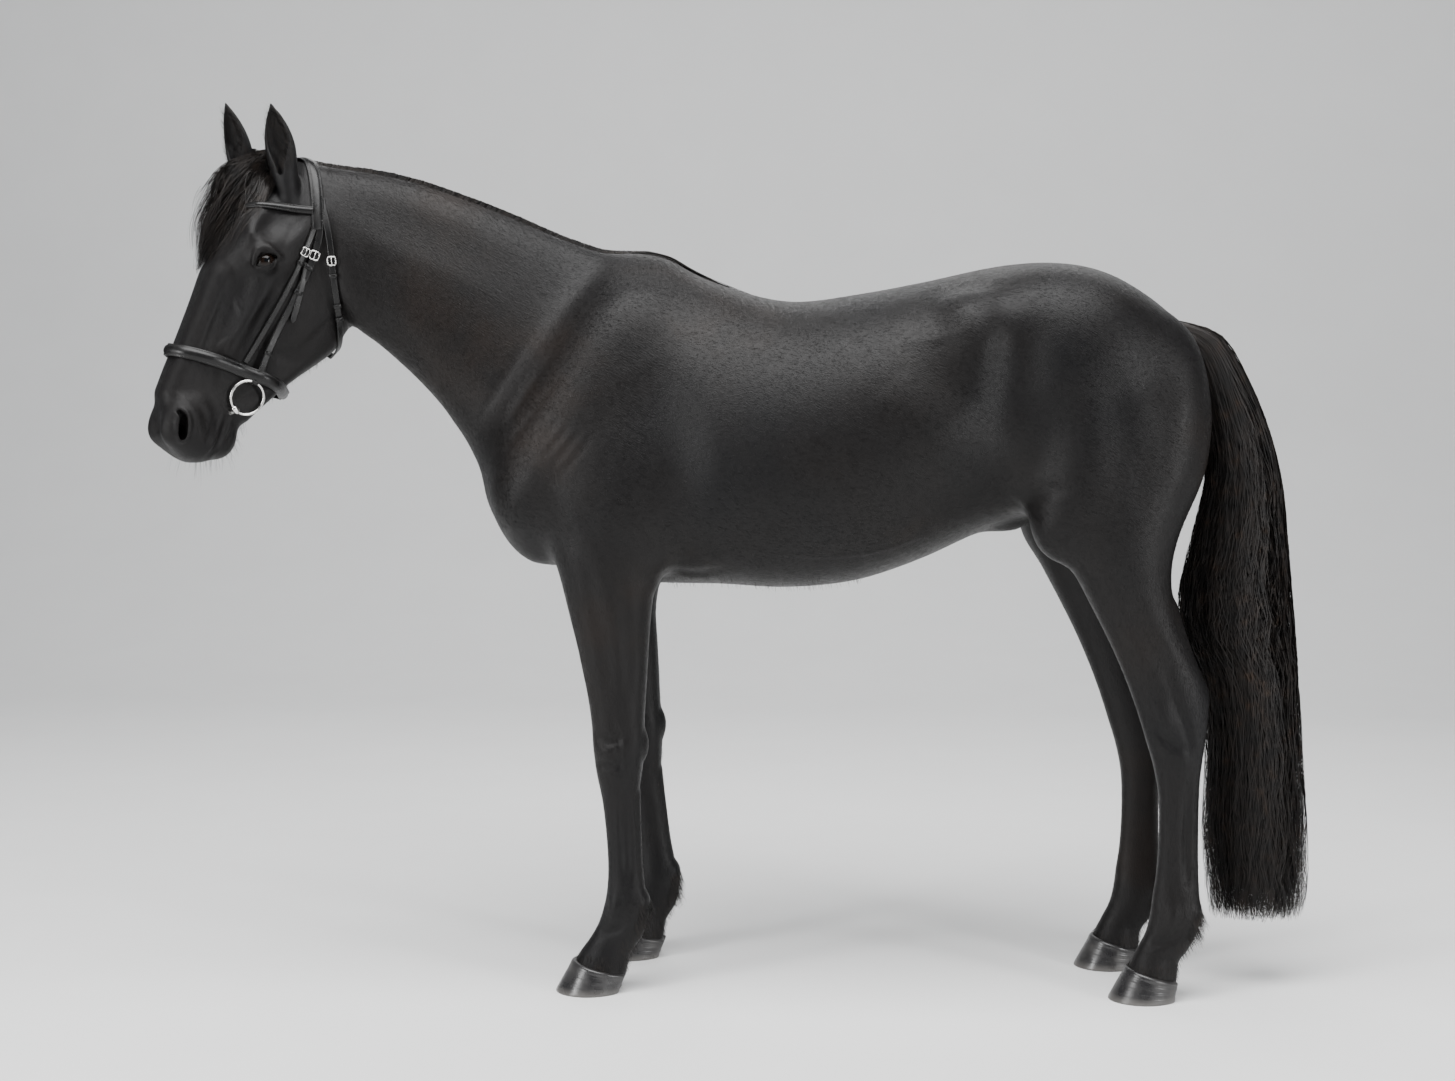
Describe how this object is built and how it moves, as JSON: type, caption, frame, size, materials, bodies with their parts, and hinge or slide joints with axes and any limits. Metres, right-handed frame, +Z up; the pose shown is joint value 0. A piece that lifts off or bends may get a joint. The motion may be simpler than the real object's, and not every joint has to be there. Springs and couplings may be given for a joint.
{
  "type": "horse",
  "caption": "Life-size black riding horse standing square, head turned a little to its left, ears forward, wearing a bridle with loose-ring bit.",
  "frame": {"origin": "on the floor below the middle of the whole horse's bounding box, tail and head included", "axes": "+Z up; the horse faces -X; its left side is -Y"},
  "size_m": [2.4533, 0.6349, 1.8992],
  "materials": {
    "coat": "short sleek black hair",
    "hair": "long black hair",
    "horn": "dark oiled horn",
    "eye": "wet dark brown",
    "leather": "black bridle leather",
    "steel": "polished steel"
  },
  "bodies": {
    "root": {"bit_l": "steel", "bit_r": "steel", "bridle_browband": "leather", "bridle_cheek_l": "leather", "bridle_cheek_r": "leather", "bridle_headpiece": "leather", "bridle_noseband": "leather", "bridle_nosecheek_l": "leather", "bridle_nosecheek_r": "leather", "bridle_throatlash": "leather", "buckle_cheek_l": "steel", "buckle_cheek_r": "steel", "buckle_nosecheek_l": "steel", "buckle_nosecheek_r": "steel", "buckle_throatlash_l": "steel", "buckle_throatlash_r": "steel", "ear_l": "coat", "ear_r": "coat", "eye_l": "eye", "eye_r": "eye", "foreleg_l": "coat", "foreleg_r": "coat", "forelock": "hair", "head": "coat", "hindleg_l": "coat", "hindleg_r": "coat", "hoof_fore_l": "horn", "hoof_fore_r": "horn", "hoof_hind_l": "horn", "hoof_hind_r": "horn", "mane": "hair", "neck": "coat", "tail": "hair", "trunk": "coat"}
  },
  "joints": []
}
